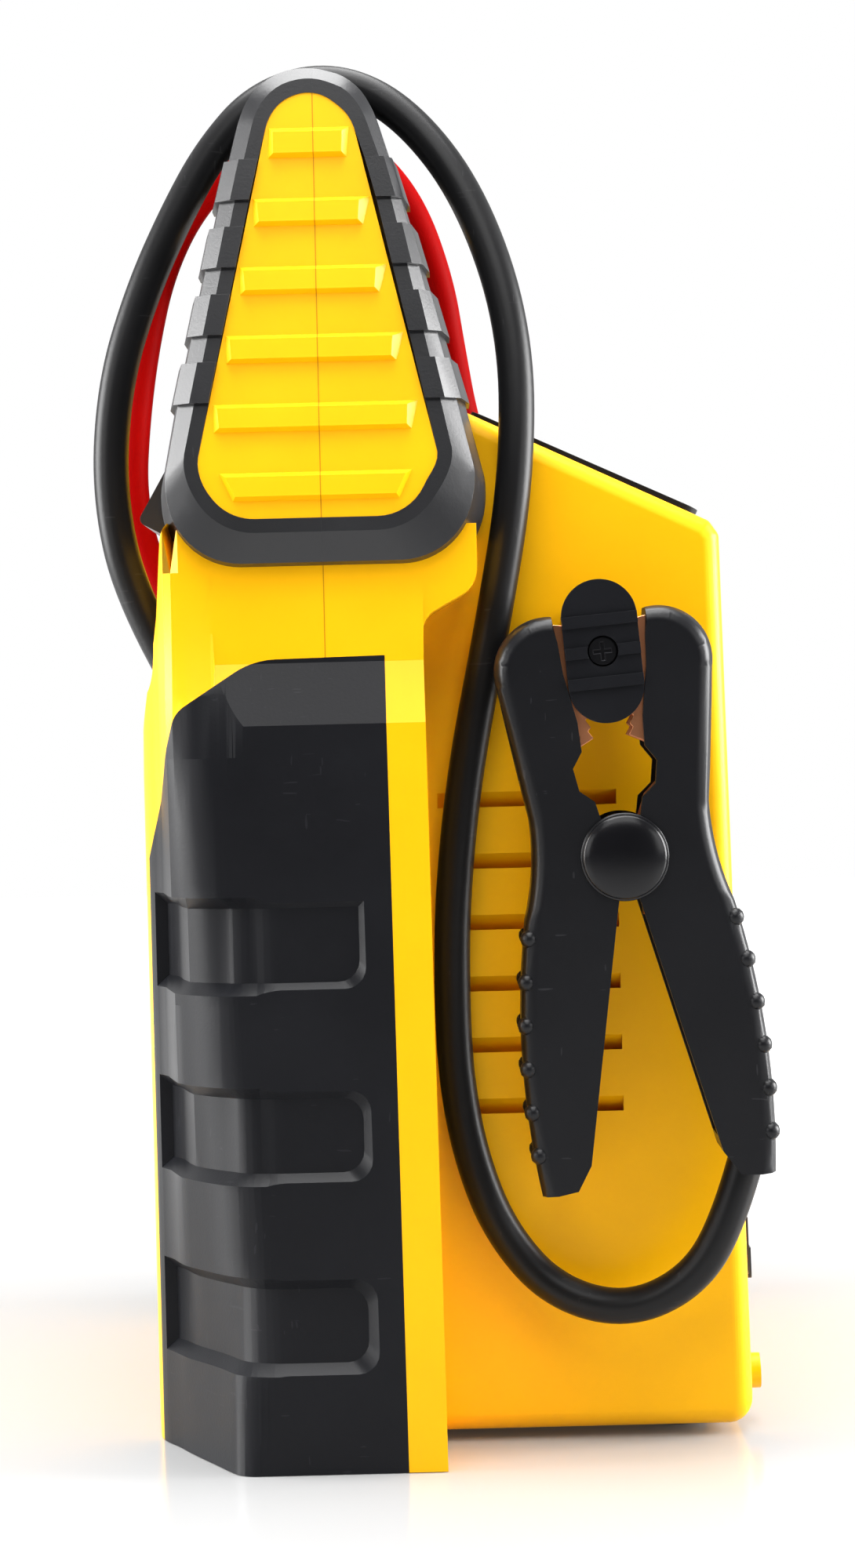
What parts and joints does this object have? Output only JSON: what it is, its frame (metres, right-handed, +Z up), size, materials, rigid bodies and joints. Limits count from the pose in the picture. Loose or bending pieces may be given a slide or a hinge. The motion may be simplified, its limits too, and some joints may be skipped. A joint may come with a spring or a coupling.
{
  "type": "jump starter pack",
  "caption": "Portable jump starter pack with a carrying handle, corner guards, work lamp and two spring clamps parked on end posts.",
  "frame": {"origin": "middle of the outline on the floor", "axes": "+X along the long side, from the end with the black clamp to the end with the red clamp; +Y from the battery box towards the curved back; +Z up"},
  "size_m": [0.3, 0.1861, 0.386],
  "materials": {
    "yellow_plastic": "satin gloss moulded plastic",
    "grip_rubber": "soft grained overmould",
    "black_plastic": "fine grained plastic",
    "dark_plastic": "satin plastic",
    "clear_plastic": "clear window",
    "led_plastic": "tinted light bars",
    "steel": "zinc plated",
    "board_green": "circuit board",
    "board_white": "light board",
    "cover_rubber": "rubber flap",
    "lamp_glass": "clear lens",
    "battery_case": "battery case",
    "lead_metal": "dull lead",
    "foot_rubber": "rubber foot",
    "key_plastic": "push button",
    "black_rubber": "cable boot",
    "red_rubber": "cable boot",
    "black_cable_skin": "smooth cable skin",
    "red_cable_skin": "smooth cable skin",
    "black_clamp_plastic": "clamp cover",
    "red_clamp_plastic": "clamp cover",
    "black_clamp_cap": "domed cap",
    "red_clamp_cap": "domed cap",
    "copper": "bare copper",
    "spring_steel": "bright spring wire"
  },
  "bodies": {
    "casing": {"front_shell": "yellow_plastic", "rear_shell": "yellow_plastic", "front_grip": "grip_rubber", "rear_grip": "grip_rubber", "left_bumper": "black_plastic", "right_bumper": "black_plastic", "control_panel": "black_plastic", "rotary_switch": "dark_plastic", "gauge_lens": "clear_plastic", "gauge_leds": "led_plastic", "panel_screws": "steel", "circuit_board": "board_green", "outlet_socket": "dark_plastic", "outlet_cover_pin": "steel", "charging_inlet": "dark_plastic", "inlet_cover_pin": "steel", "left_clamp_post": "black_plastic", "right_clamp_post": "black_plastic", "clamp_post_screws": "steel", "lamp_bracket": "black_plastic", "lamp_hinge_pin": "steel", "battery": "battery_case", "battery_terminals": "lead_metal", "battery_bracket": "steel", "housing_screws": "steel", "box_feet": "foot_rubber", "black_cable_boot": "black_rubber", "black_cable": "black_cable_skin", "red_cable_boot": "red_rubber", "red_cable": "red_cable_skin", "black_clamp_fixed_grip": "black_clamp_plastic", "black_clamp_fixed_jaw": "copper", "black_clamp_pivot": "black_clamp_cap", "black_clamp_spring": "spring_steel", "red_clamp_fixed_grip": "red_clamp_plastic", "red_clamp_fixed_jaw": "copper", "red_clamp_pivot": "red_clamp_cap", "red_clamp_spring": "spring_steel"},
    "black_clamp_half": {"black_clamp_moving_grip": "black_clamp_plastic", "black_clamp_moving_jaw": "copper"},
    "red_clamp_half": {"red_clamp_moving_grip": "red_clamp_plastic", "red_clamp_moving_jaw": "copper"},
    "lamp": {"lamp_housing": "dark_plastic", "lamp_lens": "lamp_glass", "lamp_board": "board_white"},
    "knob": {"power_knob": "dark_plastic"},
    "test_key": {"test_button": "key_plastic"},
    "light_key": {"light_button": "key_plastic"},
    "outlet_flap": {"outlet_cover": "cover_rubber"},
    "inlet_flap": {"inlet_cover": "cover_rubber"}
  },
  "joints": [
    {"name": "black_clamp_opening", "type": "hinge", "parent": "casing", "child": "black_clamp_half", "pos_m": [-0.136, -0.04665, 0.1562], "axis": [-1, 0, 0], "range_deg": [0, 20], "stiffness_Nm_per_rad": 0.25, "springref_deg": -57.3},
    {"name": "red_clamp_opening", "type": "hinge", "parent": "casing", "child": "red_clamp_half", "pos_m": [0.136, -0.04665, 0.1562], "axis": [-1, 0, 0], "range_deg": [0, 20], "stiffness_Nm_per_rad": 0.25, "springref_deg": -57.3},
    {"name": "lamp_tilt", "type": "hinge", "parent": "casing", "child": "lamp", "pos_m": [0, 0.07245, 0.256], "axis": [1, 0, 0], "range_deg": [0, 45]},
    {"name": "power_knob_turn", "type": "hinge", "parent": "casing", "child": "knob", "pos_m": [0, -0.03507, 0.26153], "axis": [0, -0.4221, 0.9066], "range_deg": [0, 90]},
    {"name": "test_button_press", "type": "slide", "parent": "casing", "child": "test_key", "axis": [0, 0.4221, -0.9066], "range_m": [0, 0.0014], "stiffness_N_per_m": 400, "springref_m": -0.0005},
    {"name": "light_button_press", "type": "slide", "parent": "casing", "child": "light_key", "axis": [0, 0.4221, -0.9066], "range_m": [0, 0.0014], "stiffness_N_per_m": 400, "springref_m": -0.0005},
    {"name": "outlet_cover_opening", "type": "hinge", "parent": "casing", "child": "outlet_flap", "pos_m": [-0.08, -0.07915, 0.09931], "axis": [-1, 0, 0], "range_deg": [0, 110]},
    {"name": "inlet_cover_opening", "type": "hinge", "parent": "casing", "child": "inlet_flap", "pos_m": [-0.08, -0.07982, 0.05731], "axis": [-1, 0, 0], "range_deg": [0, 110]}
  ]
}
